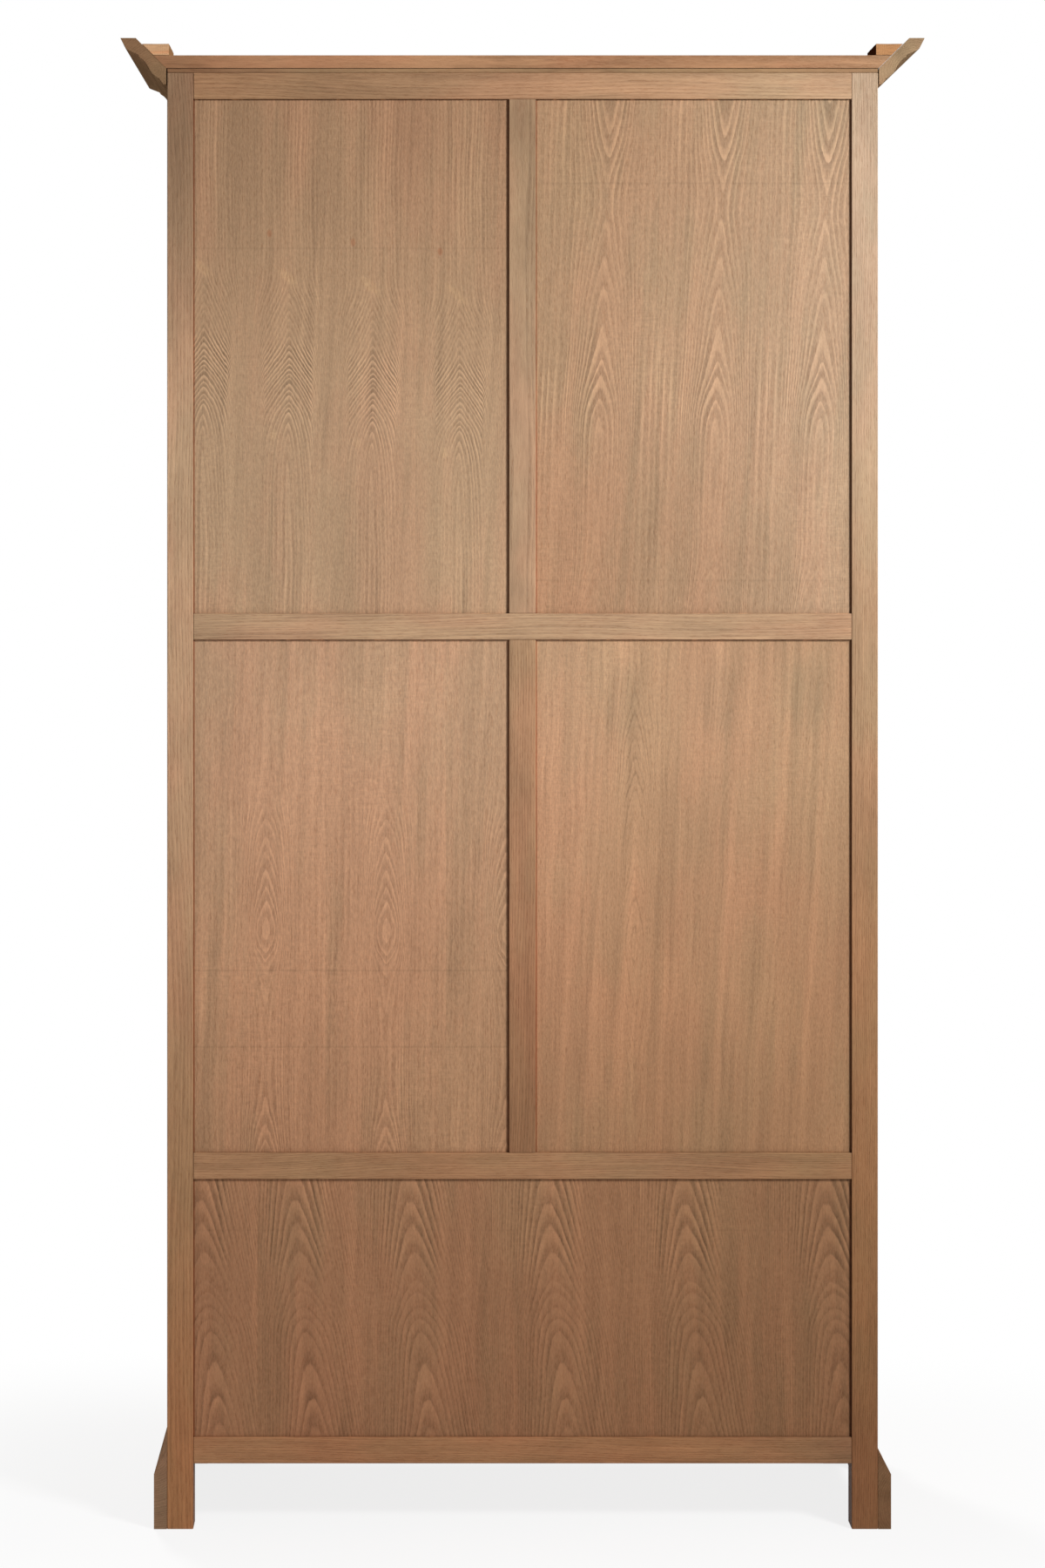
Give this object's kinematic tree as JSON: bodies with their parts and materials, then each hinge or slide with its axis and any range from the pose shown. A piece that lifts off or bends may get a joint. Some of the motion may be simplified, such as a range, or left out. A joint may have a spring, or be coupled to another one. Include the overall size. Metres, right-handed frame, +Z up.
{
  "type": "tall cabinet",
  "caption": "Tall oak cabinet with a panelled back, a pair of hinged doors, a deep base drawer, a fixed shelf, a moulded crown and bracket feet.",
  "frame": {"origin": "on the floor under the middle of the outline: halfway between the crown's side tips, and halfway between the crown's front tip and the back", "axes": "+Z up, +Y out of the panelled back, so the doors face -Y; +X is the right side for someone who faces the doors"},
  "size_m": [1.201, 0.51, 2.2255],
  "materials": {
    "oak_frame": "weathered limed oak, matt, straight grain",
    "oak_panel": "weathered limed oak veneer, matt, cathedral grain",
    "oak_moulding": "weathered limed oak moulding, matt",
    "raw_wood": "raw unstained softwood",
    "drawer_wood": "plain pale wood, lightly sealed",
    "aged_bronze": "dark aged bronze"
  },
  "bodies": {
    "carcase": {"rear_leg_left": "oak_frame", "front_leg_left": "oak_frame", "rear_leg_right": "oak_frame", "front_leg_right": "oak_frame", "back_bottom_rail": "oak_frame", "back_lower_rail": "oak_frame", "back_mid_rail": "oak_frame", "back_top_rail": "oak_frame", "back_mullion_middle": "oak_frame", "back_panel_middle_left": "oak_panel", "back_panel_middle_right": "oak_panel", "back_mullion_upper": "oak_frame", "back_panel_upper_left": "oak_panel", "back_panel_upper_right": "oak_panel", "back_panel_lower": "oak_panel", "front_bottom_rail": "oak_frame", "front_waist_rail": "oak_frame", "front_top_rail": "oak_frame", "side_panel_left": "oak_panel", "side_panel_right": "oak_panel", "dust_board": "oak_panel", "cupboard_floor": "oak_panel", "fixed_shelf": "oak_panel", "top_board": "oak_panel", "sub_top": "oak_frame", "crown_front": "oak_moulding", "base_front": "oak_moulding", "crown_left": "oak_moulding", "base_left": "oak_moulding", "crown_right": "oak_moulding", "base_right": "oak_moulding", "crown_block_left": "raw_wood", "door_left_hinge_upper": "aged_bronze", "door_left_hinge_lower": "aged_bronze", "crown_block_right": "raw_wood", "door_right_hinge_upper": "aged_bronze", "door_right_hinge_lower": "aged_bronze"},
    "door_left": {"door_left_hinge_stile": "oak_frame", "door_left_meeting_stile": "oak_frame", "door_left_bottom_rail": "oak_frame", "door_left_mid_rail": "oak_frame", "door_left_top_rail": "oak_frame", "door_left_panel_lower": "oak_panel", "door_left_panel_upper": "oak_panel", "door_left_knob": "aged_bronze"},
    "door_right": {"door_right_hinge_stile": "oak_frame", "door_right_meeting_stile": "oak_frame", "door_right_bottom_rail": "oak_frame", "door_right_mid_rail": "oak_frame", "door_right_top_rail": "oak_frame", "door_right_panel_lower": "oak_panel", "door_right_panel_upper": "oak_panel", "door_right_knob": "aged_bronze"},
    "drawer": {"drawer_front": "oak_panel", "drawer_back": "drawer_wood", "drawer_side_left": "drawer_wood", "drawer_side_right": "drawer_wood", "drawer_bottom": "drawer_wood", "drawer_knob_left": "aged_bronze", "drawer_knob_right": "aged_bronze"}
  },
  "joints": [
    {"name": "door_left_hinge", "type": "hinge", "parent": "carcase", "child": "door_left", "pos_m": [-0.4905, -0.191, 0.5615], "axis": [0, 0, -1], "range_deg": [0, 110]},
    {"name": "door_right_hinge", "type": "hinge", "parent": "carcase", "child": "door_right", "pos_m": [0.4905, -0.191, 0.5615], "axis": [0, 0, 1], "range_deg": [0, 110]},
    {"name": "drawer_slide", "type": "slide", "parent": "carcase", "child": "drawer", "axis": [0, -1, 0], "range_m": [0, 0.28]}
  ]
}
